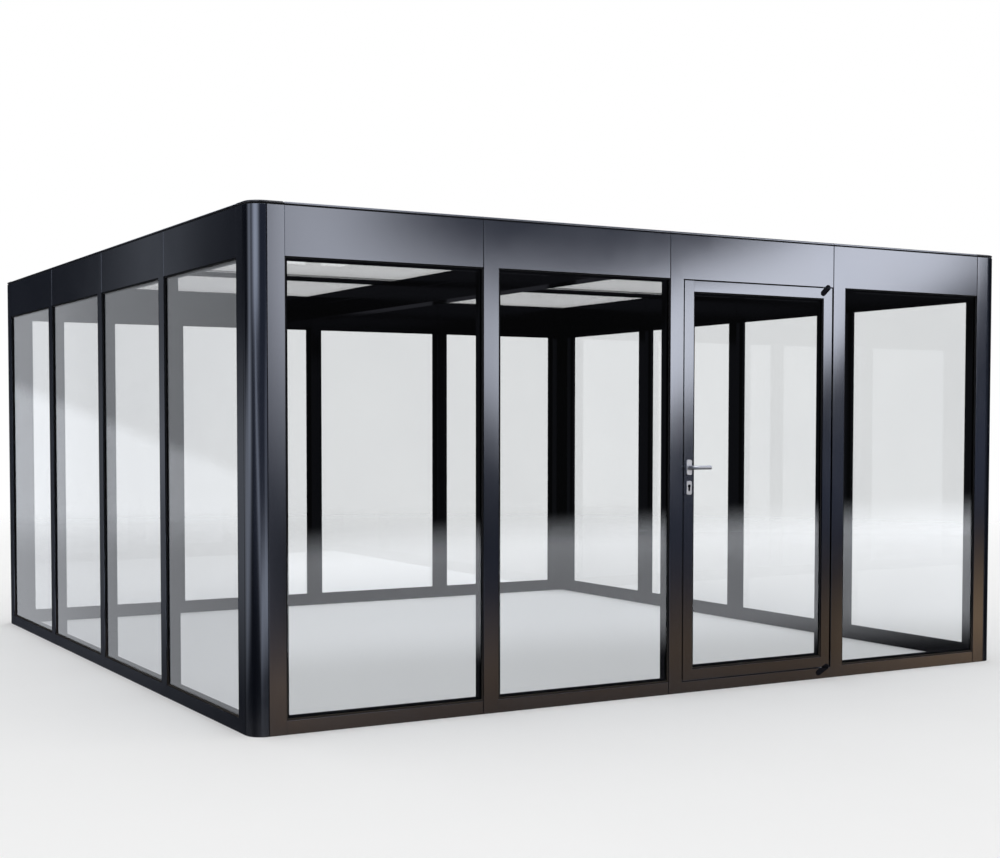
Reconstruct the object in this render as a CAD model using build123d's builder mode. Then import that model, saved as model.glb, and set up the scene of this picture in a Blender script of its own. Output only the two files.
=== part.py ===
from build123d import *
import os

# A glass garden house, square on plan, with a flat glass roof and one pivoted glass door.
# Millimetres, +Z up, the front faces -Y. The origin is on the ground, at the centre of the
# whole footprint with the door's lever handle counted in.

# Driving sizes of the building
width = 4500.0
depth = 4500.0
height = 2300.0
wall_thickness = 80.0
post_face = 80.0
bay_count = 4
corner_radius = 76.0
header_height = 217.0
bottom_rail_height = 62.0
joint = 3.0

# Glazing
pane_thickness = 8.0
pane_recess = 10.0
pane_clearance = 3.0
gasket_width = 8.0
gasket_thickness = 6.0
bead_width = 18.0
bead_depth = 20.0

# Roof
trim_height = 8.0
trim_width = 40.0
trim_bevel = 3.0
cap_rise = 1.0
seal_thickness = 7.0
seal_inset = 4.0
roof_glass_thickness = 8.0
roof_glass_gap = 2.0
roof_joint = 12.0
roof_row_count = 3
cover_strip_width = 50.0
cover_strip_thickness = 3.0
beam_width = 164.0
beam_height = 163.0
beam_ledge_height = 62.0
beam_ledge_projection = 8.0
cross_bar_width = 50.0
cross_bar_height = 20.0

# Column grooves, where the round corner meets the flat posts
groove_width = 3.0
groove_depth = 5.0

# Door
bay_count_left_of_door = 2
door_gap = 6.0
pivot_gap = 12.0
pivot_inset = 45.0
sill_height = 56.0
leaf_thickness = 48.0
leaf_stile_face = 57.0
leaf_rail_face = 54.0
stop_clearance = 5.0
stop_width = 12.0
stop_depth = 20.0
pivot_pin_radius = 8.0
pivot_pin_length = 30.0
pivot_bore_clearance = 0.08
pivot_bore_spare = 2.0
pivot_collar_radius = 14.0
pivot_collar_clearance = 0.3

# Pivot cover plates, black slanted ovals half on the leaf and half on the frame
cover_width = 30.0
cover_thickness = 4.0
top_cover_length = 74.0
top_cover_angle = 42.0
top_cover_drop = 12.0
bottom_cover_length = 92.0
bottom_cover_angle = 27.0
bottom_cover_drop = 15.0

# Door furniture
lever_height = 1132.0
keyhole_height = 1030.0
rosette_width = 33.0
rosette_height = 78.0
keyhole_plate_height = 70.0
rosette_thickness = 8.0
rosette_corner = 10.0
rosette_edge = 1.5
spindle_size = 8.0
spindle_bore = 12.4
lever_radius = 10.0
lever_stand_off = 46.0
lever_bend = 16.0
lever_length = 100.0
lever_tip_bevel = 2.0
lever_clearance = 0.3
keyhole_radius = 8.5
keyhole_slot_width = 10.0
keyhole_slot_drop = 24.5
cylinder_clearance = 0.3
cylinder_set_back = 1.0

# Worked out from the sizes above
header_top = height - trim_height - seal_thickness
head_height = header_top - header_height
lever_reach = rosette_thickness + lever_clearance + lever_stand_off + lever_radius
front_y = -depth / 2 + lever_reach / 2
rear_y = front_y + depth
plan_centre = (0, front_y + depth / 2)
corner_reach = wall_thickness + post_face
opening_height = head_height - bottom_rail_height


class Wall:
    """One wall seen as a flat outer face: x runs along it, y is up, and inward is the way in."""

    def __init__(self, name, origin, along, normal, inward, length):
        self.name = name
        self.face = Plane(origin=origin, x_dir=along, z_dir=normal)
        self.inward = inward
        self.bay_width = (length - 2 * corner_reach - (bay_count - 1) * post_face) / bay_count
        self.length = length

    def bay_start(self, bay):
        return corner_reach + bay * (self.bay_width + post_face)

    def bay_middle(self, bay):
        return self.bay_start(bay) + self.bay_width / 2

    def inner_post_middles(self):
        return [self.bay_start(bay) - post_face / 2 for bay in range(1, bay_count)]

    def corner_post_middles(self):
        return [corner_reach - post_face / 2, self.length - corner_reach + post_face / 2]

    def at_depth(self, amount):
        return self.face.offset(self.inward * amount)


front = Wall("front", (-width / 2, front_y, 0), (1, 0, 0), (0, -1, 0), -1, width)
rear = Wall("rear", (-width / 2, rear_y, 0), (1, 0, 0), (0, -1, 0), 1, width)
left = Wall("left", (-width / 2, front_y, 0), (0, 1, 0), (1, 0, 0), 1, depth)
right = Wall("right", (width / 2, front_y, 0), (0, 1, 0), (1, 0, 0), -1, depth)
walls = [front, left, right, rear]

door_bay_left = front.bay_start(bay_count_left_of_door)
door_left = door_bay_left + door_gap
door_right = door_bay_left + front.bay_width - pivot_gap
door_bottom = sill_height + door_gap
door_top = head_height - door_gap
door_middle = (door_left + door_right) / 2
door_height = door_top - door_bottom
pivot_x = door_right - pivot_inset
lock_x = door_left + leaf_stile_face / 2
leaf_clear_width = door_right - door_left - 2 * leaf_stile_face
leaf_clear_height = door_height - 2 * leaf_rail_face


def save(piece, name):
    piece.part.label = name
    export_step(piece.part, "parts/" + name + ".step")


def glazed_bays(wall):
    return [bay for bay in range(bay_count) if not (wall is front and bay == bay_count_left_of_door)]


def wall_posts(wall):
    """The posts at the corners go up past the header's ends, the others carry the header."""
    with BuildPart() as posts:
        with BuildSketch(wall.face):
            with Locations(*[(x, header_top / 2) for x in wall.corner_post_middles()]):
                Rectangle(post_face, header_top)
            with Locations(*[(x, head_height / 2) for x in wall.inner_post_middles()]):
                Rectangle(post_face, head_height)
        extrude(amount=wall.inward * wall_thickness)
    save(posts, wall.name + "_posts")


def header_spans(wall):
    """Start and length of each header: it begins over a post and stops a joint short of the next."""
    starts = [wall.bay_start(bay) - (post_face if bay else 0) for bay in range(bay_count)]
    ends = [wall.bay_start(bay) + wall.bay_width - joint for bay in range(bay_count)]
    return [(start, end - start) for start, end in zip(starts, ends)]


def wall_headers(wall):
    with BuildPart() as headers:
        with BuildSketch(wall.face):
            for start, span in header_spans(wall):
                with Locations((start, head_height)):
                    Rectangle(span, header_height, align=(Align.MIN, Align.MIN))
        extrude(amount=wall.inward * wall_thickness)
    save(headers, wall.name + "_headers")


def wall_bottom_rails(wall):
    with BuildPart() as rails:
        with BuildSketch(wall.face):
            with Locations(*[(wall.bay_start(bay), 0) for bay in glazed_bays(wall)]):
                Rectangle(wall.bay_width - joint, bottom_rail_height, align=(Align.MIN, Align.MIN))
        extrude(amount=wall.inward * wall_thickness)
    save(rails, wall.name + "_bottom_rails")


def wall_glass(wall):
    pane_middle = bottom_rail_height + opening_height / 2
    with BuildPart() as glass:
        with BuildSketch(wall.at_depth(pane_recess)):
            with Locations(*[(wall.bay_middle(bay), pane_middle) for bay in glazed_bays(wall)]):
                Rectangle(wall.bay_width - 2 * pane_clearance, opening_height - 2 * pane_clearance)
        extrude(amount=wall.inward * pane_thickness)
    save(glass, wall.name + "_glass")


def glazing_rings(name, ring_width, recess, thickness):
    """A flat ring round every fixed pane, on its outside or on its inside."""
    middle = bottom_rail_height + opening_height / 2
    with BuildPart() as rings:
        for wall in walls:
            with BuildSketch(wall.at_depth(recess)):
                with Locations(*[(wall.bay_middle(bay), middle) for bay in glazed_bays(wall)]):
                    Rectangle(wall.bay_width, opening_height)
                    Rectangle(
                        wall.bay_width - 2 * ring_width,
                        opening_height - 2 * ring_width,
                        mode=Mode.SUBTRACT,
                    )
            extrude(amount=wall.inward * thickness)
    save(rings, name)


def corner_planes(height_above_ground):
    """A plane at the inner corner of each column, turned so that +X +Y points at the outer corner."""
    half_x = width / 2 - wall_thickness
    half_y = depth / 2 - wall_thickness
    mid_y = plan_centre[1]
    turned = {
        "front_left": ((-half_x, mid_y - half_y), (-1, 0, 0)),
        "front_right": ((half_x, mid_y - half_y), (0, -1, 0)),
        "rear_left": ((-half_x, mid_y + half_y), (0, 1, 0)),
        "rear_right": ((half_x, mid_y + half_y), (1, 0, 0)),
    }
    return {
        name: Plane(origin=(x, y, height_above_ground), x_dir=along, z_dir=(0, 0, 1))
        for name, ((x, y), along) in turned.items()
    }


def corner_column(name, plane):
    with BuildPart() as column:
        with BuildSketch(plane) as profile:
            Rectangle(wall_thickness, wall_thickness, align=(Align.MIN, Align.MIN))
            outer = profile.vertices().sort_by_distance((wall_thickness, wall_thickness))[0]
            fillet(outer, corner_radius)
            with Locations((0, wall_thickness)):
                Rectangle(groove_width, groove_depth, align=(Align.MIN, Align.MAX), mode=Mode.SUBTRACT)
            with Locations((wall_thickness, 0)):
                Rectangle(groove_depth, groove_width, align=(Align.MAX, Align.MIN), mode=Mode.SUBTRACT)
        extrude(amount=header_top)
    save(column, name + "_corner_column")


def corner_caps():
    leg = wall_thickness + post_face - joint
    inner = wall_thickness - trim_width
    with BuildPart() as caps:
        for plane in corner_planes(header_top + seal_thickness).values():
            with BuildSketch(plane) as profile:
                with Locations((wall_thickness, wall_thickness)):
                    Rectangle(leg, leg, align=(Align.MAX, Align.MAX))
                outer = profile.vertices().sort_by_distance((wall_thickness, wall_thickness))[0]
                fillet(outer, corner_radius)
                with Locations((inner, inner)):
                    Rectangle(leg, leg, align=(Align.MAX, Align.MAX), mode=Mode.SUBTRACT)
            extrude(amount=trim_height + cap_rise)
        chamfer(caps.faces().group_by(Axis.Z)[-1].edges(), trim_bevel)
    save(caps, "corner_caps")


def roof_edge_trims():
    with BuildPart() as trims:
        for wall in walls:
            with BuildSketch(wall.face):
                for start, span in header_spans(wall):
                    with Locations((start, height - trim_height)):
                        Rectangle(span, trim_height, align=(Align.MIN, Align.MIN))
            extrude(amount=wall.inward * trim_width)
        chamfer(trims.faces().group_by(Axis.Z)[-1].edges(), trim_bevel)
    save(trims, "roof_edge_trims")


def row_lines():
    """Where the cross bars run, as distances from the plan's centre line."""
    pitch = depth / roof_row_count
    return [pitch * row - depth / 2 for row in range(1, roof_row_count)]


def roof_main_beam():
    clear = depth - 2 * wall_thickness
    web_width = beam_width - 2 * beam_ledge_projection
    beam_end = (0, front_y + wall_thickness, header_top)
    with BuildPart() as beam:
        with BuildSketch(Plane(origin=beam_end, x_dir=(1, 0, 0), z_dir=(0, -1, 0))):
            Rectangle(beam_width, beam_ledge_height, align=(Align.CENTER, Align.MAX))
            Rectangle(web_width, beam_height, align=(Align.CENTER, Align.MAX))
        extrude(amount=-clear)
    save(beam, "roof_main_beam")


def roof_cross_bars():
    clear = width / 2 - wall_thickness - beam_width / 2
    middle = beam_width / 2 + clear / 2
    with BuildPart() as bars:
        with BuildSketch(Plane.XY.offset(header_top - cross_bar_height)):
            with Locations(*[(x, plan_centre[1] + y) for y in row_lines() for x in (-middle, middle)]):
                Rectangle(clear, cross_bar_width)
        extrude(amount=cross_bar_height)
    save(bars, "roof_cross_bars")


def roof_seals():
    """Thin rubber beds: a ring on the wall heads and strips on the beam and the cross bars."""
    ring_outer_x = width - 2 * seal_inset
    ring_outer_y = depth - 2 * seal_inset
    inner_x = width - 2 * wall_thickness
    inner_y = depth - 2 * wall_thickness
    with BuildPart() as seals:
        with BuildSketch(Plane.XY.offset(header_top)):
            with Locations(plan_centre):
                RectangleRounded(ring_outer_x, ring_outer_y, corner_radius - seal_inset)
                Rectangle(inner_x, inner_y, mode=Mode.SUBTRACT)
                Rectangle(beam_width, inner_y)
            with Locations(*[(0, plan_centre[1] + y) for y in row_lines()]):
                Rectangle(inner_x, cross_bar_width)
        extrude(amount=seal_thickness)
    save(seals, "roof_seals")


def roof_glass():
    glass_x = width - 2 * (trim_width + roof_glass_gap)
    glass_y = depth - 2 * (trim_width + roof_glass_gap)
    rounding = wall_thickness - trim_width - roof_glass_gap
    with BuildPart() as glass:
        with BuildSketch(Plane.XY.offset(header_top + seal_thickness)):
            with Locations(plan_centre):
                RectangleRounded(glass_x, glass_y, rounding)
                Rectangle(roof_joint, glass_y, mode=Mode.SUBTRACT)
            with Locations(*[(0, plan_centre[1] + y) for y in row_lines()]):
                Rectangle(glass_x, roof_joint, mode=Mode.SUBTRACT)
        extrude(amount=roof_glass_thickness)
    save(glass, "roof_glass")


def roof_cover_strips():
    glass_x = width - 2 * (trim_width + roof_glass_gap)
    glass_y = depth - 2 * (trim_width + roof_glass_gap)
    with BuildPart() as strips:
        with BuildSketch(Plane.XY.offset(header_top + seal_thickness + roof_glass_thickness)):
            with Locations(plan_centre):
                Rectangle(cover_strip_width, glass_y)
            with Locations(*[(0, plan_centre[1] + y) for y in row_lines()]):
                Rectangle(glass_x, cover_strip_width)
        extrude(amount=cover_strip_thickness)
    save(strips, "roof_cover_strips")


def door_sill():
    with BuildPart() as sill:
        with BuildSketch(front.face):
            with Locations((door_bay_left, 0)):
                Rectangle(front.bay_width, sill_height, align=(Align.MIN, Align.MIN))
        extrude(amount=front.inward * wall_thickness)
    save(sill, "door_sill")


def door_stop_strips():
    """The jamb stop on the lock side and the head stop, which ends short of the pivot."""
    swing_radius = (pivot_inset**2 + (leaf_thickness / 2) ** 2) ** 0.5
    head_end = pivot_x - swing_radius - stop_clearance
    with BuildPart() as stops:
        with BuildSketch(front.at_depth(leaf_thickness + stop_clearance)):
            with Locations((door_bay_left, sill_height)):
                Rectangle(stop_width, head_height - sill_height, align=(Align.MIN, Align.MIN))
            with Locations((door_bay_left, head_height)):
                Rectangle(head_end - door_bay_left, stop_width, align=(Align.MIN, Align.MAX))
        extrude(amount=front.inward * stop_depth)
    save(stops, "door_stop_strips")


def door_stiles():
    with BuildPart() as stiles:
        with BuildSketch(front.face):
            with Locations((door_left, door_bottom)):
                Rectangle(leaf_stile_face, door_height, align=(Align.MIN, Align.MIN))
            with Locations((door_right, door_bottom)):
                Rectangle(leaf_stile_face, door_height, align=(Align.MAX, Align.MIN))
        extrude(amount=front.inward * leaf_thickness)
        with BuildSketch(front.face):
            with Locations((lock_x, lever_height)):
                Circle(spindle_bore / 2)
        extrude(amount=front.inward * leaf_thickness, mode=Mode.SUBTRACT)
        for leaf_end, into_leaf in ((door_bottom, 1), (door_top, -1)):
            with BuildSketch(pivot_plane(leaf_end)):
                Circle(pivot_pin_radius + pivot_bore_clearance)
            extrude(amount=into_leaf * (pivot_pin_length + pivot_bore_spare), mode=Mode.SUBTRACT)
    save(stiles, "door_stiles")


def door_rails():
    with BuildPart() as rails:
        with BuildSketch(front.face):
            with Locations((door_middle, door_bottom)):
                Rectangle(leaf_clear_width, leaf_rail_face, align=(Align.CENTER, Align.MIN))
            with Locations((door_middle, door_top)):
                Rectangle(leaf_clear_width, leaf_rail_face, align=(Align.CENTER, Align.MAX))
        extrude(amount=front.inward * leaf_thickness)
    save(rails, "door_rails")


def door_glass():
    pane_size = (leaf_clear_width - 2 * pane_clearance, leaf_clear_height - 2 * pane_clearance)
    with BuildPart() as glass:
        with BuildSketch(front.at_depth(pane_recess)):
            with Locations((door_middle, door_bottom + door_height / 2)):
                Rectangle(*pane_size)
        extrude(amount=front.inward * pane_thickness)
    save(glass, "door_glass")


def door_ring(name, ring_width, recess, thickness):
    inside = (leaf_clear_width - 2 * ring_width, leaf_clear_height - 2 * ring_width)
    with BuildPart() as ring:
        with BuildSketch(front.at_depth(recess)):
            with Locations((door_middle, door_bottom + door_height / 2)):
                Rectangle(leaf_clear_width, leaf_clear_height)
                Rectangle(*inside, mode=Mode.SUBTRACT)
        extrude(amount=front.inward * thickness)
    save(ring, name)


def pivot_plane(height_above_ground):
    x, y, z = front.at_depth(leaf_thickness / 2).from_local_coords((pivot_x, 0, 0))
    return Plane(origin=(x, y, height_above_ground), z_dir=(0, 0, 1))


def pivot_pins():
    """A pin with a collar that carries the leaf on the sill, and a plain pin in the header."""
    with BuildPart() as pins:
        with BuildSketch(pivot_plane(sill_height)):
            Circle(pivot_pin_radius)
        extrude(amount=door_gap + pivot_pin_length)
        with BuildSketch(pivot_plane(sill_height)):
            Circle(pivot_collar_radius)
        extrude(amount=door_gap - pivot_collar_clearance)
        with BuildSketch(pivot_plane(head_height)):
            Circle(pivot_pin_radius)
        extrude(amount=-door_gap - pivot_pin_length)
    save(pins, "pivot_pins")


def cover_places():
    """Centre, length and tilt of the two slanted covers, at the head and the foot of the pivot."""
    return [
        ((pivot_x, door_top - top_cover_drop), top_cover_length, top_cover_angle),
        ((pivot_x, door_bottom - bottom_cover_drop), bottom_cover_length, bottom_cover_angle),
    ]


def pivot_covers(name, low, high, mode):
    """The covers, cut to the part that lies between two heights, or to all but that part."""
    with BuildPart() as covers:
        with BuildSketch(front.face):
            for place, length, angle in cover_places():
                with Locations(place):
                    SlotOverall(length, cover_width, rotation=angle)
            with Locations((pivot_x, (low + high) / 2)):
                Rectangle(2 * bottom_cover_length, high - low, mode=mode)
        extrude(amount=-front.inward * cover_thickness)
    save(covers, name)


def soften_outer_edges(piece):
    """Chamfers the rims of the two faces that look away from the leaf."""
    faces = piece.faces().sort_by(Axis.Y)
    chamfer(faces[0].edges() + faces[-1].edges(), rosette_edge)


def door_rosettes():
    outline = (rosette_width, rosette_height, rosette_corner)
    with BuildPart() as rosettes:
        for plane, outward in lock_faces():
            with BuildSketch(plane):
                with Locations((lock_x, lever_height)):
                    RectangleRounded(*outline)
            extrude(amount=outward * rosette_thickness)
        soften_outer_edges(rosettes)
        with BuildSketch(front.at_depth(-rosette_thickness)):
            with Locations((lock_x, lever_height)):
                Circle(spindle_bore / 2)
        extrude(amount=front.inward * (leaf_thickness + 2 * rosette_thickness), mode=Mode.SUBTRACT)
    save(rosettes, "door_rosettes")


def lock_faces():
    """The leaf's two faces, each with the sense that leads away from the leaf."""
    return [(front.face, -front.inward), (front.at_depth(leaf_thickness), front.inward)]


def keyhole_outline(grow, mode):
    """The lock barrel's outline, a round head over a narrower foot, grown by an even margin."""
    with Locations((lock_x, keyhole_height + keyhole_radius)):
        Circle(keyhole_radius + grow, mode=mode)
        slot_drop = keyhole_slot_drop + grow
        Rectangle(keyhole_slot_width + 2 * grow, slot_drop, align=(Align.CENTER, Align.MAX), mode=mode)


def door_keyhole_plates():
    with BuildPart() as plates:
        for plane, outward in lock_faces():
            with BuildSketch(plane):
                with Locations((lock_x, keyhole_height)):
                    RectangleRounded(rosette_width, keyhole_plate_height, rosette_corner)
            extrude(amount=outward * rosette_thickness)
        soften_outer_edges(plates)
        with BuildSketch(front.at_depth(-rosette_thickness)):
            keyhole_outline(cylinder_clearance, Mode.ADD)
        extrude(amount=front.inward * (leaf_thickness + 2 * rosette_thickness), mode=Mode.SUBTRACT)
    save(plates, "door_keyhole_plates")


def door_lock_cylinder():
    with BuildPart() as cylinder:
        for plane, outward in lock_faces():
            with BuildSketch(plane):
                keyhole_outline(0, Mode.ADD)
            extrude(amount=outward * (rosette_thickness - cylinder_set_back))
    save(cylinder, "door_lock_cylinder")


def lever(name, plane, outward):
    """A round bar that comes out of the rosette, bends and runs along the leaf."""
    base = rosette_thickness + lever_clearance
    reach = base + lever_stand_off
    bend_start = plane.offset(outward * base)
    neck_foot = bend_start.from_local_coords((lock_x, lever_height, 0))
    corner = plane.offset(outward * reach).from_local_coords((lock_x, lever_height, 0))
    tip = plane.offset(outward * reach).from_local_coords((lock_x + lever_length, lever_height, 0))
    with BuildPart() as bar:
        with BuildLine() as path:
            FilletPolyline(neck_foot, corner, tip, radius=lever_bend)
        with BuildSketch(bend_start):
            with Locations((lock_x, lever_height)):
                Circle(lever_radius)
        sweep(path=path.line)
        chamfer(bar.faces().sort_by(Axis.X)[-1].edges(), lever_tip_bevel)
    save(bar, name)


def lever_spindle():
    half_gap = rosette_thickness + lever_clearance
    with BuildPart() as spindle:
        with BuildSketch(front.face.offset(-front.inward * half_gap)):
            with Locations((lock_x, lever_height)):
                Rectangle(spindle_size, spindle_size)
        extrude(amount=front.inward * (leaf_thickness + 2 * half_gap))
    save(spindle, "lever_spindle")


os.makedirs("parts", exist_ok=True)

for wall in walls:
    wall_posts(wall)
    wall_headers(wall)
    wall_bottom_rails(wall)
    wall_glass(wall)
glazing_rings("glazing_gaskets", gasket_width, pane_recess - gasket_thickness, gasket_thickness)
glazing_rings("glazing_beads", bead_width, pane_recess + pane_thickness, bead_depth)
for name, plane in corner_planes(0).items():
    corner_column(name, plane)

corner_caps()
roof_edge_trims()
roof_main_beam()
roof_cross_bars()
roof_seals()
roof_glass()
roof_cover_strips()

door_sill()
door_stop_strips()
pivot_pins()
pivot_covers("frame_pivot_covers", door_bottom - door_gap, door_top + door_gap, Mode.SUBTRACT)

door_stiles()
door_rails()
door_glass()
door_ring("door_gasket", gasket_width, pane_recess - gasket_thickness, gasket_thickness)
door_ring("door_bead", bead_width, pane_recess + pane_thickness, bead_depth)
pivot_covers("leaf_pivot_covers", door_bottom, door_top, Mode.INTERSECT)
door_rosettes()
door_keyhole_plates()
door_lock_cylinder()

lever("outer_lever", front.face, -front.inward)
lever("inner_lever", front.at_depth(leaf_thickness), front.inward)
lever_spindle()
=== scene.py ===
import bmesh
import bpy
from math import radians
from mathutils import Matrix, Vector
from mathutils.bvhtree import BVHTree


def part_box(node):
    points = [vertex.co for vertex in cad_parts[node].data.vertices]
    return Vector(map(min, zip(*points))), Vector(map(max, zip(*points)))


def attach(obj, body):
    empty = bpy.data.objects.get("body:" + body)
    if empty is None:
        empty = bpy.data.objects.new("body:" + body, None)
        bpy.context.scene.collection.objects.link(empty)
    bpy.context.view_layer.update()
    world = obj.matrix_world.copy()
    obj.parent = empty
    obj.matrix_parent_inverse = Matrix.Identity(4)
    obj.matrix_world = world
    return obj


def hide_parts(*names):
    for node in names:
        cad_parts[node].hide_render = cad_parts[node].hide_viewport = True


# The glass garden house, finished: coated aluminium profiles with softened edges, clear panes,
# rubber gaskets and satin door furniture. Metres; the frame's own place and size are kept.

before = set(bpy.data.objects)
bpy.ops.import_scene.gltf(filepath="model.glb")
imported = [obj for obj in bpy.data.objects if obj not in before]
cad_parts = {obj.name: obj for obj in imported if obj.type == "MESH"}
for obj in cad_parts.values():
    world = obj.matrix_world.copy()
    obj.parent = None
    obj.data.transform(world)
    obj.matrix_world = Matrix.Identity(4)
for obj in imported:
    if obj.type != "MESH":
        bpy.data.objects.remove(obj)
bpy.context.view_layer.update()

# How the solids' corners, faces and edges are told apart
weld_distance = 0.00002
flat_angle = radians(1)
sharp_angle = radians(35)
seam_reach = 0.0001
place_digits = 4

# Edges of the finished pieces
profile_rounding = 0.0009
joint_rounding = 0.0017
bead_rounding = 0.002
gasket_rounding = 0.0018
cap_rounding = 0.0014
fitting_rounding = 0.0006
cover_rounding = 0.0014
edge_segments = 2
end_segments = 3

# Rubber strips in the upright joints between the headers, the rails and the roof trims
joint_width = 0.003
strip_set_back = 0.004
strip_depth = 0.036
strip_rise = 0.001
strip_rounding = 0.0006

# Brush seals in the edges of the leaf at the head, the foot and the pivot side. The carrier and
# the pile each have a reach at the head and foot, a reach at the pivot side and half a width.
# The end gap keeps them off the leaf's corners and the pivot pins.
seal_carrier = (0.0015, 0.0015, 0.0045)
seal_pile = (0.0045, 0.0095, 0.0022)
seal_end_gap = 0.004
seal_rounding = 0.0004

# Colours of the finishes. A pair holds the two ends of a slow or fine variation.
coating_colours = (0.112, 0.118, 0.136, 1), (0.122, 0.128, 0.146, 1)
coating_dust = (0.085, 0.060, 0.040, 1)
glass_colours = (0.895, 0.905, 0.912, 1), (0.915, 0.925, 0.93, 1)
glass_shadow = (0.9, 0.91, 0.92, 1)
rubber_colour = (0.006, 0.006, 0.007, 1)
rubber_dust = (0.06, 0.045, 0.03, 1)
plastic_colours = (0.003, 0.003, 0.005, 1), (0.007, 0.007, 0.01, 1)
floor_colour = (0.93, 0.93, 0.93)
floor_shade = 0.985
metal_shade = 0.86

# Roughness of the finishes. A pair goes from the smoothest place to the roughest, the spread is
# how much plastic and steel vary, and full dust adds its own.
coating_roughness = (0.1, 0.12)
rubber_roughness = (0.48, 0.62)
roughness_spread = 0.1
dust_roughness = 0.4

# Most of the noise in grain and drift lies between these two values
noise_middle = (0.3, 0.7)

# Dust fades upwards from its start, and lies up to the splash height higher in places
splash_height = 0.25
dust_start = -0.14

# Stretch of the grain in drawn metal: lines along the lever, upright, or round a turned piece
lines_along = (0.03, 1, 1)
lines_upright = (1, 1, 0.03)
lines_round = (1, 1, 4)

# Camera, as the photograph was taken
image_width = 1000
image_height = 858
camera_place = (-4.666, -8.4035, 1.3445)
camera_pitch = 87.685
camera_turn = -29.45
focal_pixels = 1545.1
optical_centre = (470.98, 487.35)
sensor_width = 36.0

# Floor
floor_half = 60.0
floor_fade_start = 7.0
floor_fade_end = 17.0

# Light. The room is plain white. The wide lights are seen only in reflections: each has the two
# angles in degrees between which it grows, and its strength at either end.
room_light = (1.0, 1.0, 1.0, 1)
overhead_light = (45.0, 75.0, 0.0, 3.0)
dusk_light = (6.0, 30.0, 0.03, 0.3)
pane_back_light = (60.0, 120.0, 0.02, 0.5)
indoor_dark = (0.03, 0.03, 0.035, 1)

# A ray is told apart by how often it has been mirrored and by how many faces of panes it has gone
# through. These limits lie half way between two counts. The back half of the room begins at
# back_half, in degrees from the front.
mirrored_once = 0.5
past_one_face = 0.5
past_first_pane = 2.5
back_half = 90.0


# Node graphs

def node(tree, kind, inputs=None, **settings):
    """A new node with its settings and its inputs, each a plain value or another node's output."""
    made = tree.nodes.new(kind)
    for name, value in settings.items():
        setattr(made, name, value)
    for name, value in (inputs or {}).items():
        if isinstance(value, bpy.types.NodeSocket):
            tree.links.new(value, made.inputs[name])
        else:
            made.inputs[name].default_value = value
    return made


def calculate(tree, operation, first, second=0.0):
    return node(tree, "ShaderNodeMath", {0: first, 1: second}, operation=operation).outputs[0]


def soft_step(tree, value, start, end, low=0.0, high=1.0):
    """low up to start, high from end on, and an even S-curve between them."""
    inputs = {"Value": value, "From Min": start, "From Max": end, "To Min": low, "To Max": high}
    ranged = node(tree, "ShaderNodeMapRange", inputs, interpolation_type="SMOOTHSTEP")
    return ranged.outputs["Result"]


def blend_colours(tree, factor, first, second):
    """The first colour where the factor is 0 and the second where it is 1."""
    mix = node(tree, "ShaderNodeMix", data_type="RGBA")
    for socket, value in ((mix.inputs[0], factor), (mix.inputs[6], first), (mix.inputs[7], second)):
        if isinstance(value, bpy.types.NodeSocket):
            tree.links.new(value, socket)
        else:
            socket.default_value = value
    return mix.outputs[2]


def opaque(colour, shade=1.0):
    """A red, green and blue, darkened by the shade, as a node's colour."""
    return tuple(shade * part for part in colour) + (1,)


def new_group(name, inputs, outputs):
    """A shader node group with its named inputs and outputs, and its two end nodes."""
    group = bpy.data.node_groups.new(name, "ShaderNodeTree")
    for socket_name, kind, value in inputs:
        socket = group.interface.new_socket(socket_name, in_out="INPUT", socket_type=kind)
        socket.default_value = value
    for socket_name, kind in outputs:
        group.interface.new_socket(socket_name, in_out="OUTPUT", socket_type=kind)
    return group, group.nodes.new("NodeGroupInput"), group.nodes.new("NodeGroupOutput")


def use_group(tree, group, inputs):
    """The outputs of a group that is placed in a material with its own values."""
    placed_group = tree.nodes.new("ShaderNodeGroup")
    placed_group.node_tree = group
    for name, value in inputs.items():
        placed_group.inputs[name].default_value = value
    return placed_group.outputs


# Effects that several finishes share

def grain_group():
    """Even fine grain, stretched along any axis: a value about 0.5 and the normal that it gives."""
    group, given, result = new_group(
        "grain",
        [
            ("Stretch", "NodeSocketVector", (1, 1, 1)),
            ("Scale", "NodeSocketFloat", 400.0),
            ("Height", "NodeSocketFloat", 0.0001),
        ],
        [("Value", "NodeSocketFloat"), ("Normal", "NodeSocketVector")],
    )
    place = node(group, "ShaderNodeTexCoord").outputs["Object"]
    stretched = node(
        group, "ShaderNodeVectorMath", {0: place, 1: given.outputs["Stretch"]}, operation="MULTIPLY"
    ).outputs[0]
    noise = node(
        group, "ShaderNodeTexNoise",
        {"Vector": stretched, "Scale": given.outputs["Scale"], "Detail": 2.0, "Roughness": 0.5},
    ).outputs["Fac"]
    bump = node(
        group, "ShaderNodeBump", {"Height": noise, "Distance": given.outputs["Height"]}
    ).outputs["Normal"]
    group.links.new(noise, result.inputs["Value"])
    group.links.new(bump, result.inputs["Normal"])
    return group


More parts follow.
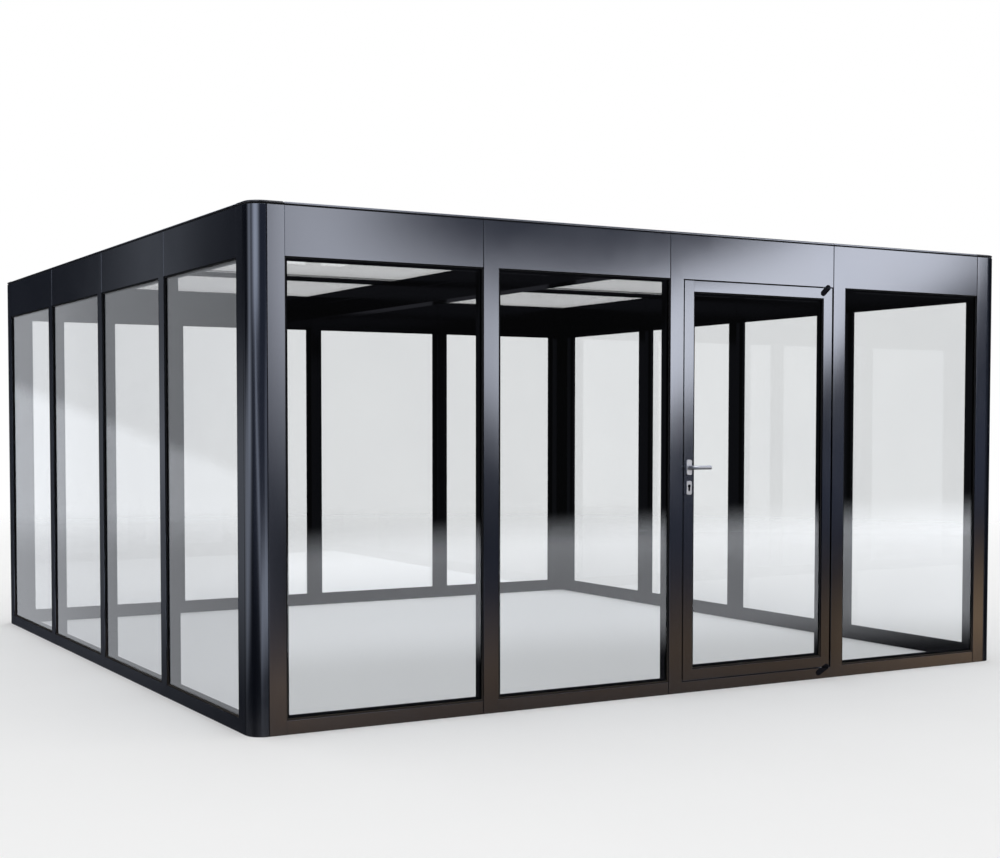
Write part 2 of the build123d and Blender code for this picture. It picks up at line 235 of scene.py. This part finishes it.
def low_dust_group():
    """A thin film of dust: a mask that fades out with height, along an uneven edge."""
    group, given, result = new_group(
        "low_dust",
        [("Top", "NodeSocketFloat", 0.45), ("Amount", "NodeSocketFloat", 0.5)],
        [("Mask", "NodeSocketFloat")],
    )
    place = node(group, "ShaderNodeTexCoord").outputs["Object"]
    height = node(group, "ShaderNodeSeparateXYZ", {0: place}).outputs["Z"]
    splashes = node(
        group, "ShaderNodeTexNoise",
        {"Vector": place, "Scale": 5.0, "Detail": 6.0, "Roughness": 0.62},
    ).outputs["Fac"]
    uneven = calculate(group, "ADD", height, calculate(group, "MULTIPLY", splashes, -splash_height))
    faded = soft_step(group, uneven, dust_start, given.outputs["Top"], 1.0, 0.0)
    mask = calculate(group, "MULTIPLY", faded, given.outputs["Amount"])
    group.links.new(mask, result.inputs["Mask"])
    return group


def drift_group():
    """Slow cloudy variation over a surface, from 0 to 1."""
    group, given, result = new_group(
        "drift", [("Scale", "NodeSocketFloat", 2.0)], [("Value", "NodeSocketFloat")]
    )
    place = node(group, "ShaderNodeTexCoord").outputs["Object"]
    noise = node(
        group, "ShaderNodeTexNoise",
        {"Vector": place, "Scale": given.outputs["Scale"], "Detail": 3.0, "Roughness": 0.55},
    ).outputs["Fac"]
    group.links.new(soft_step(group, noise, *noise_middle), result.inputs["Value"])
    return group


grain = grain_group()
low_dust = low_dust_group()
drift = drift_group()


# Finishes

def new_material(name, plain):
    """A material with one Principled shader, whose plain values are set on its own sockets."""
    material = bpy.data.materials.new(name)
    material.use_nodes = True
    tree = material.node_tree
    shader = tree.nodes["Principled BSDF"]
    for socket_name, value in plain.items():
        shader.inputs[socket_name].default_value = value
    return material, tree, shader


def feed(tree, shader, varying):
    """Links what changes over the surface to the shader's sockets."""
    for socket_name, value in varying.items():
        tree.links.new(value, shader.inputs[socket_name])


def mix_into_surface(tree, factor, shader, other):
    """The material's surface: the shader where the factor is 0, the other where it is 1."""
    both = {0: factor, 1: shader.outputs[0], 2: other.outputs[0]}
    mixed = node(tree, "ShaderNodeMixShader", both)
    tree.links.new(mixed.outputs[0], tree.nodes["Material Output"].inputs["Surface"])


def coated_aluminium():
    """Anthracite metallic coating: smooth and satin, a trace of orange peel, dust low down."""
    material, tree, shader = new_material("coated_aluminium", {})
    peel = use_group(tree, grain, {"Scale": 260.0, "Height": 0.00002})
    cloud = use_group(tree, drift, {"Scale": 1.6})["Value"]
    dust = use_group(tree, low_dust, {"Top": 0.12, "Amount": 0.15})["Mask"]
    clean_roughness = soft_step(tree, cloud, 0.0, 1.0, *coating_roughness)
    dulled = calculate(tree, "MULTIPLY", dust, dust_roughness)
    clean_colour = blend_colours(tree, cloud, *coating_colours)
    feed(tree, shader, {
        "Base Color": blend_colours(tree, dust, clean_colour, coating_dust),
        "Roughness": calculate(tree, "ADD", clean_roughness, dulled),
        "Metallic": soft_step(tree, dust, 0.0, 1.0, 1.0, 0.0),
        "Normal": peel["Normal"],
    })
    return material


def clear_glass(name, cover):
    """Float glass, faintly grey, mixed with open air where the cover is less than 1.
    Light that is spread by other surfaces goes straight through it."""
    material, tree, shader = new_material(
        name, {"Roughness": 0.0, "IOR": 1.5, "Alpha": cover, "Transmission Weight": 1.0}
    )
    cloud = use_group(tree, drift, {"Scale": 1.1})["Value"]
    feed(tree, shader, {"Base Color": blend_colours(tree, cloud, *glass_colours)})
    ray = node(tree, "ShaderNodeLightPath").outputs
    soft_gloss = calculate(tree, "SUBTRACT", ray["Is Glossy Ray"], ray["Is Singular Ray"])
    spread = calculate(tree, "MAXIMUM", ray["Is Shadow Ray"], ray["Is Diffuse Ray"])
    straight = calculate(tree, "MAXIMUM", spread, soft_gloss)
    open_air = node(tree, "ShaderNodeBsdfTransparent", {"Color": glass_shadow})
    mix_into_surface(tree, straight, shader, open_air)
    return material


def rubber():
    """Black rubber, fine pored and almost without gloss, with dust low down."""
    material, tree, shader = new_material("rubber", {"Specular IOR Level": 0.15})
    pores = use_group(tree, grain, {"Scale": 900.0, "Height": 0.00006})
    dust = use_group(tree, low_dust, {"Top": 0.3, "Amount": 0.4})["Mask"]
    feed(tree, shader, {
        "Base Color": blend_colours(tree, dust, rubber_colour, rubber_dust),
        "Roughness": soft_step(tree, pores["Value"], *noise_middle, *rubber_roughness),
        "Normal": pores["Normal"],
    })
    return material


def grained(name, plain, grain_values, colours, roughness):
    """A finish whose colour, roughness and normal all follow the same fine grain."""
    material, tree, shader = new_material(name, plain)
    fine = use_group(tree, grain, grain_values)
    feed(tree, shader, {
        "Base Color": blend_colours(tree, fine["Value"], *colours),
        "Roughness": soft_step(
            tree, fine["Value"], *noise_middle, roughness, roughness + roughness_spread
        ),
        "Normal": fine["Normal"],
    })
    return material


def moulded_plastic(name, gloss, roughness):
    """Black plastic with fine pores; gloss is the shader's specular level."""
    pores = {"Scale": 1400.0, "Height": 0.00004}
    return grained(name, {"Specular IOR Level": gloss}, pores, plastic_colours, roughness)


def brushed_metal(name, colour, stretch, roughness):
    """Metal with fine drawn lines, which run along the axes where the stretch is smallest."""
    lines = {"Stretch": stretch, "Scale": 1500.0, "Height": 0.00002}
    colours = opaque(colour, metal_shade), opaque(colour)
    return grained(name, {"Metallic": 1.0}, lines, colours, roughness)


coating = coated_aluminium()
glass = clear_glass("clear_glass", 1.0)
roof_glass = clear_glass("roof_glass", 0.4)
gasket_rubber = rubber()
matt_plastic = moulded_plastic("matt_plastic", 0.04, 0.45)
glossy_plastic = moulded_plastic("glossy_plastic", 0.9, 0.14)
lever_metal = brushed_metal("satin_steel", (0.72, 0.72, 0.74), lines_along, 0.4)
plate_metal = brushed_metal("satin_plate", (0.62, 0.62, 0.64), lines_upright, 0.3)
# The turned steel of the pivot pins and the spindle is darkened to 0.2 as painted shade, for the
# shadow that the pins stand in
steel_with_painted_shade = brushed_metal("lathe_steel_with_painted_shade", (0.2, 0.2, 0.21), lines_round, 0.3)

# How a finished piece is named after its node, its slot in the record, and its material
coated = ("_coated", "anthracite_aluminium", coating)
moulded_rubber = ("_moulded", "black_rubber", gasket_rubber)
moulded_matt = ("_moulded", "black_plastic", matt_plastic)
moulded_glossy = ("_moulded", "black_plastic", glossy_plastic)
brushed_plate = ("_brushed", "satin_steel", plate_metal)
brushed_lever = ("_brushed", "satin_steel", lever_metal)


# Mesh work

def is_sharp(edge):
    return edge.is_manifold and edge.calc_face_angle() > sharp_angle


def is_upright(edge):
    start, end = (corner.co for corner in edge.verts)
    return abs(start.z - end.z) > edge.calc_length() / 2


def places_along(mesh, along):
    """Where the mesh has corners, as distances in the direction along, from low to high."""
    return sorted({round(corner.co.dot(along), place_digits) for corner in mesh.vertices})


def flush_seam(work, neighbour, along):
    """Cuts a piece where its neighbour's sides end, and gives its level edges on their seam."""
    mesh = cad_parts[neighbour].data
    for place in places_along(mesh, along):
        whole = work.verts[:] + work.edges[:] + work.faces[:]
        bmesh.ops.bisect_plane(
            work, geom=whole, dist=weld_distance, plane_co=along * place, plane_no=along
        )
    surface = BVHTree.FromPolygons(
        [corner.co for corner in mesh.vertices], [face.vertices[:] for face in mesh.polygons]
    )
    seam = set()
    for edge in work.edges:
        start, end = (corner.co for corner in edge.verts)
        touching = surface.find_nearest((start + end) / 2)[3] < seam_reach
        if touching and abs(start.z - end.z) < weld_distance:
            seam.add(edge)
    return seam


def round_edges(work, edges, rounding, segments=edge_segments):
    bmesh.ops.bevel(
        work, geom=edges, offset=rounding, affect="EDGES", segments=segments, profile=0.5,
        material=-1, clamp_overlap=True,
    )


def add_box(work, first, second):
    """A box between two opposite corners."""
    low = Vector([min(pair) for pair in zip(first, second)])
    high = Vector([max(pair) for pair in zip(first, second)])
    made = bmesh.ops.create_cube(work, size=1.0)
    bmesh.ops.scale(work, vec=high - low, verts=made["verts"])
    bmesh.ops.translate(work, vec=(low + high) / 2, verts=made["verts"])


def placed(work, name, material, body):
    """The mesh as a smooth-shaded piece of a body, with its finish."""
    mesh = bpy.data.meshes.new(name)
    for face in work.faces:
        face.smooth = True
    work.to_mesh(mesh)
    work.free()
    mesh.materials.append(material)
    piece = bpy.data.objects.new(name, mesh)
    bpy.context.scene.collection.objects.link(piece)
    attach(piece, body)
    return piece


def finished(node_name, finish, body, rounding, flush_with=None, end_rounding=None):
    """The node's solid as one clean mesh: welded, flat faces joined up, sharp edges rounded.
    flush_with names a node and the way along the wall: the seam with that node isn't rounded.
    end_rounding is for the upright edges, where it differs."""
    suffix, slot, material = finish
    work = bmesh.new()
    work.from_mesh(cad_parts[node_name].data)
    bmesh.ops.remove_doubles(work, verts=work.verts, dist=weld_distance)
    bmesh.ops.dissolve_limit(
        work, angle_limit=flat_angle, verts=work.verts, edges=work.edges,
        use_dissolve_boundaries=False,
    )
    if end_rounding:
        upright = [edge for edge in work.edges if is_sharp(edge) and is_upright(edge)]
        round_edges(work, upright, end_rounding, end_segments)
    seam = flush_seam(work, *flush_with) if flush_with else ()
    sharp = [edge for edge in work.edges if is_sharp(edge) and edge not in seam]
    round_edges(work, sharp, rounding)
    if flush_with:
        for edge in work.edges:
            edge.smooth = not is_sharp(edge)
    piece = placed(work, node_name + suffix, material, body)
    even = piece.modifiers.new("even shading", "WEIGHTED_NORMAL")
    even.keep_sharp = True
    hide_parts(node_name)


def painted(node_name, material):
    """A node that keeps its own shape and gets its finish."""
    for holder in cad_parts[node_name].material_slots:
        holder.material = material


# Pieces that are added in the scene

# Each wall, with the directions along it and into the house
walls = (
    ("front", Vector((1, 0, 0)), Vector((0, 1, 0))),
    ("left", Vector((0, 1, 0)), Vector((1, 0, 0))),
    ("right", Vector((0, 1, 0)), Vector((-1, 0, 0))),
    ("rear", Vector((1, 0, 0)), Vector((0, -1, 0))),
)


def joint_strips():
    """The strips that close the joints, at the header, the roof trim and the bottom rail."""
    trim_foot, trim_head = (corner[2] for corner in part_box("roof_edge_trims"))
    work = bmesh.new()
    for side, along, inward in walls:
        for row in (side + "_headers", side + "_bottom_rails"):
            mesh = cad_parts[row].data
            outer_face = min(corner.co.dot(inward) for corner in mesh.vertices)
            levels = [tuple(corner[2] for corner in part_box(row))]
            if row == side + "_headers":
                levels.append((trim_foot, trim_head + strip_rise))
            # The corners along a wall are each length's start and end in turn
            for length_end in places_along(mesh, along)[1::2]:
                near = along * length_end + inward * (outer_face + strip_set_back)
                far = near + along * joint_width + inward * strip_depth
                for foot, head in levels:
                    add_box(work, (near.x, near.y, foot), (far.x, far.y, head))
    round_edges(work, work.edges[:], strip_rounding)
    placed(work, "joint_strips_moulded", gasket_rubber, "frame")


def door_brush_seals():
    """The brush seals on the leaf's edges, which leave the pivot pins free."""
    leaf_low, leaf_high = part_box("door_stiles")
    pins_start, pins_end = (corner[0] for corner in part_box("pivot_pins"))
    middle = (leaf_low.y + leaf_high.y) / 2
    upright_span = (leaf_low.z + seal_end_gap, leaf_high.z - seal_end_gap)
    level_spans = (
        (leaf_low.x + seal_end_gap, pins_start - seal_end_gap),
        (pins_end + seal_end_gap, leaf_high.x - seal_end_gap),
    )
    work = bmesh.new()
    for level_reach, side_reach, half_width in (seal_carrier, seal_pile):
        runs = [((leaf_high.x, leaf_high.x + side_reach), upright_span)]
        for span in level_spans:
            runs.append((span, (leaf_high.z, leaf_high.z + level_reach)))
            runs.append((span, (leaf_low.z - level_reach, leaf_low.z)))
        for (left, right), (foot, head) in runs:
            add_box(work, (left, middle - half_width, foot), (right, middle + half_width, head))
    round_edges(work, work.edges[:], seal_rounding)
    placed(work, "door_brush_seals", gasket_rubber, "door")


# The walls

for side, along, _ in walls:
    finished(
        side + "_posts", coated, "frame", profile_rounding, flush_with=(side + "_headers", along)
    )
    finished(
        side + "_headers", coated, "frame", profile_rounding,
        flush_with=(side + "_posts", along), end_rounding=joint_rounding,
    )
    finished(side + "_bottom_rails", coated, "frame", profile_rounding, end_rounding=joint_rounding)
    painted(side + "_glass", glass)
joint_strips()
door_brush_seals()

for corner in ("front_left", "front_right", "rear_left", "rear_right"):
    finished(corner + "_corner_column", coated, "frame", profile_rounding)

# The rest of the frame

finished("corner_caps", moulded_glossy, "frame", cap_rounding)
finished("roof_edge_trims", coated, "frame", fitting_rounding)
finished("roof_main_beam", coated, "frame", bead_rounding)
finished("roof_cross_bars", coated, "frame", profile_rounding)
finished("roof_cover_strips", coated, "frame", fitting_rounding)
finished("door_sill", coated, "frame", profile_rounding)
finished("door_stop_strips", coated, "frame", profile_rounding)
finished("glazing_beads", coated, "frame", bead_rounding)
finished("glazing_gaskets", moulded_rubber, "frame", gasket_rounding)
finished("frame_pivot_covers", moulded_matt, "frame", cover_rounding)
painted("roof_glass", roof_glass)
painted("roof_seals", gasket_rubber)
# The pins' steel carries painted shade in its darkened colour
painted("pivot_pins", steel_with_painted_shade)

# The door's leaf

finished("door_stiles", coated, "door", profile_rounding)
finished("door_rails", coated, "door", profile_rounding)
finished("door_bead", coated, "door", bead_rounding)
finished("door_gasket", moulded_rubber, "door", gasket_rounding)
finished("leaf_pivot_covers", moulded_matt, "door", cover_rounding)
finished("door_rosettes", brushed_plate, "door", fitting_rounding)
finished("door_keyhole_plates", brushed_plate, "door", fitting_rounding)
painted("door_glass", glass)
painted("door_lock_cylinder", matt_plastic)

# The levers

finished("outer_lever", brushed_lever, "lever", fitting_rounding)
finished("inner_lever", brushed_lever, "lever", fitting_rounding)
painted("lever_spindle", steel_with_painted_shade)


# Floor, light and camera

def pale_floor():
    """A pale floor that melts into the white background far from the object."""
    mesh = bpy.data.meshes.new("pale_floor")
    work = bmesh.new()
    bmesh.ops.create_grid(work, x_segments=1, y_segments=1, size=floor_half)
    work.to_mesh(mesh)
    work.free()
    floor = bpy.data.objects.new("pale_floor", mesh)
    bpy.context.scene.collection.objects.link(floor)
    floor.visible_glossy = False
    material, tree, shader = new_material(
        "pale_floor", {"Roughness": 0.9, "Specular IOR Level": 0.0}
    )
    place = node(tree, "ShaderNodeTexCoord").outputs["Object"]
    mottle = node(
        tree, "ShaderNodeTexNoise", {"Vector": place, "Scale": 1.5, "Detail": 3.0}
    ).outputs["Fac"]
    paleness = blend_colours(tree, mottle, opaque(floor_colour), opaque(floor_colour, floor_shade))
    feed(tree, shader, {"Base Color": paleness})
    reach = node(tree, "ShaderNodeVectorMath", {0: place}, operation="LENGTH").outputs["Value"]
    fade = soft_step(tree, reach, floor_fade_start, floor_fade_end)
    mix_into_surface(tree, fade, shader, node(tree, "ShaderNodeBsdfTransparent"))
    mesh.materials.append(material)


# Soft boxes round the object, seen only in its reflections. Each has its bearing, to the right of
# straight in front, its half width and the width of its soft edge. Its elevation, half height and
# edge follow, then its strength, and its lean, which is how far it climbs for each degree to the
# right. Angles are in degrees. The panes mirror the glass lights, and everything else mirrors the
# plain, cool, dusk and warm ones.
plain_lights = (
    (23.6, 2.4, 5.4, 12.2, 11.2, 11.0, 2.7, 0.0),
    (37.2, 4.8, 2.6, 3.2, 2.35, 1.2, 4.4, 0.32),
    (45.0, 3.1, 2.9, 7.3, 3.5, 1.2, 4.5, 0.6),
    (29.6, 4.1, 5.0, 3.0, 2.35, 3.0, 2.75, -0.14),
    (100.0, 24.0, 14.0, 26.0, 15.0, 10.0, 1.8, 0.0),
    (170.0, 24.0, 16.0, 24.0, 14.0, 10.0, 1.3, 0.0),
    (75.0, 30.0, 20.0, -26.0, 10.0, 10.0, 0.7, 0.0),
    (-20.0, 36.0, 24.0, -24.0, 8.0, 10.0, 0.8, 0.0),
    (-120.0, 32.0, 24.0, -26.0, 10.0, 10.0, 0.6, 0.0),
    (160.0, 30.0, 24.0, -24.0, 9.0, 10.0, 0.9, 0.0),
    (-165.0, 24.0, 14.0, -27.0, 8.0, 6.0, 0.8, 0.0),
)
cool_lights = (
    (9.8, 6.0, 4.5, -0.6, 3.3, 2.5, 0.34, 0.46),
    (-1.5, 20.3, 7.8, -6.4, 1.7, 2.2, 1.5, 0.02),
    (-39.1, 16.9, 10.2, -2.3, 2.3, 3.5, 0.9, -0.29),
    (-49.6, 18.2, 30.5, 7.8, 3.7, 2.8, 1.95, 0.0),
    (-120.5, 21.6, 32.8, -3.3, 4.6, 4.7, 0.85, 0.05),
    (-93.2, 10.3, 26.4, 5.6, 8.4, 6.3, 0.97, 0.08),
    (-162.0, 1.0, 2.0, 5.6, 8.0, 4.0, 0.27, 0.0),
    (-153.1, 10.4, 10.2, -2.1, 4.7, 6.6, 0.25, 0.16),
)
dusk_lights = (
    (36.0, 22.1, 10.0, -4.9, 2.2, 3.0, 0.09, 0.27),
    (-6.8, 67.4, 22.7, 6.0, 10.1, 4.8, 0.11, 0.02),
)
warm_lights = (
    (35.0, 17.0, 10.0, -8.9, 2.0, 2.6, 0.26, 0.11),
    (48.8, 4.0, 4.4, -7.2, 2.4, 4.0, 0.5, 0.11),
    (23.0, 2.5, 3.0, -10.8, 1.6, 3.6, 0.2, 0.0),
)
glass_lights = (
    (34.0, 40.0, 20.0, -5.9, 2.0, 1.6, 3.1, 0.06),
    (148.0, 24.0, 10.0, 0.0, 50.0, 10.0, 0.45, 0.0),
    (-164.0, 14.0, 5.0, -9.8, 10.0, 0.8, 0.4, -0.4),
    (-174.0, 9.0, 3.0, 0.0, 30.0, 10.0, 0.15, 0.0),
)
plain_tint = (1.0, 1.0, 1.0)
cool_tint = (0.94, 1.0, 1.1)
dusk_tint = (0.82, 0.94, 1.32)
warm_tint = (1.5, 1.0, 0.55)
pane_tint = (0.96, 0.995, 1.06)


def soft_box(tree, bearing, elevation, light):
    """How strongly one soft box shines in a direction."""
    centre, half_width, edge, height, half_height, vertical_edge, strength, lean = light
    offset = calculate(tree, "SUBTRACT", bearing, centre)
    across = calculate(tree, "ABSOLUTE", offset)
    level = calculate(tree, "SUBTRACT", elevation, height)
    if lean:
        level = calculate(tree, "SUBTRACT", level, calculate(tree, "MULTIPLY", offset, lean))
    up = calculate(tree, "ABSOLUTE", level)
    in_width = soft_step(tree, across, half_width - edge / 2, half_width + edge / 2, strength, 0.0)
    in_height = soft_step(
        tree, up, half_height - vertical_edge / 2, half_height + vertical_edge / 2, 1.0, 0.0
    )
    return calculate(tree, "MULTIPLY", in_width, in_height)


def shine(tree, bearing, elevation, tint, lights, wide):
    """The colour of a set of soft boxes and wide lights together, in a direction."""
    strengths = [soft_box(tree, bearing, elevation, light) for light in lights] + wide
    total = strengths[0]
    for strength in strengths[1:]:
        total = calculate(tree, "ADD", total, strength)
    tinted = node(tree, "ShaderNodeVectorMath", {0: tint, "Scale": total}, operation="SCALE")
    return tinted.outputs[0]


def studio_world():
    """Plain white light, and for reflections a ring of soft boxes in the dark. What metal mirrors
    from behind a pane stays dark. A pane that mirrors the rear wall shows the white room there."""
    world = bpy.data.worlds.new("studio")
    bpy.context.scene.world = world
    world.use_nodes = True
    world.cycles.sampling_method = "NONE"
    tree = world.node_tree
    direction = node(tree, "ShaderNodeTexCoord").outputs["Generated"]
    parts = node(tree, "ShaderNodeSeparateXYZ", {0: direction}).outputs
    forward = calculate(tree, "MULTIPLY", parts["Y"], -1.0)
    bearing = calculate(tree, "DEGREES", calculate(tree, "ARCTAN2", parts["X"], forward))
    elevation = calculate(tree, "DEGREES", calculate(tree, "ARCSINE", parts["Z"]))

    in_metal = (0, 0, 0)
    for tint, lights, wide in (
        (plain_tint, plain_lights, [soft_step(tree, elevation, *overhead_light)]),
        (cool_tint, cool_lights, []),
        (dusk_tint, dusk_lights, [soft_step(tree, elevation, *dusk_light)]),
        (warm_tint, warm_lights, []),
    ):
        light = shine(tree, bearing, elevation, tint, lights, wide)
        in_metal = node(
            tree, "ShaderNodeVectorMath", {0: in_metal, 1: light}, operation="ADD"
        ).outputs[0]

    away = calculate(tree, "ABSOLUTE", bearing)
    behind = soft_step(tree, away, *pane_back_light)
    in_panes = shine(tree, bearing, elevation, pane_tint, glass_lights, [behind])

    ray = node(tree, "ShaderNodeLightPath").outputs
    reflected = calculate(tree, "GREATER_THAN", ray["Glossy Depth"], mirrored_once)
    indoors = calculate(tree, "GREATER_THAN", ray["Transmission Depth"], past_one_face)
    leaving = calculate(tree, "GREATER_THAN", ray["Transmission Depth"], past_first_pane)
    to_the_back = calculate(tree, "GREATER_THAN", away, back_half)
    out_behind = calculate(tree, "MULTIPLY", leaving, to_the_back)
    pane_colour = blend_colours(tree, out_behind, in_panes, room_light)
    metal_colour = blend_colours(tree, indoors, in_metal, indoor_dark)
    mirrored = blend_colours(tree, ray["Is Singular Ray"], metal_colour, pane_colour)
    seen = blend_colours(tree, reflected, room_light, mirrored)
    tree.links.new(seen, tree.nodes["Background"].inputs["Color"])


def photo_camera():
    """The camera where the photograph was taken, shifted as its frame was cut."""
    data = bpy.data.cameras.new("camera")
    data.sensor_width = sensor_width
    data.lens = sensor_width * focal_pixels / image_width
    data.shift_x = (image_width / 2 - optical_centre[0]) / image_width
    data.shift_y = (optical_centre[1] - image_height / 2) / image_width
    camera = bpy.data.objects.new("camera", data)
    camera.location = camera_place
    camera.rotation_euler = (radians(camera_pitch), 0, radians(camera_turn))
    bpy.context.scene.collection.objects.link(camera)
    bpy.context.scene.camera = camera


pale_floor()
studio_world()
photo_camera()
bpy.context.scene.view_settings.view_transform = "Standard"
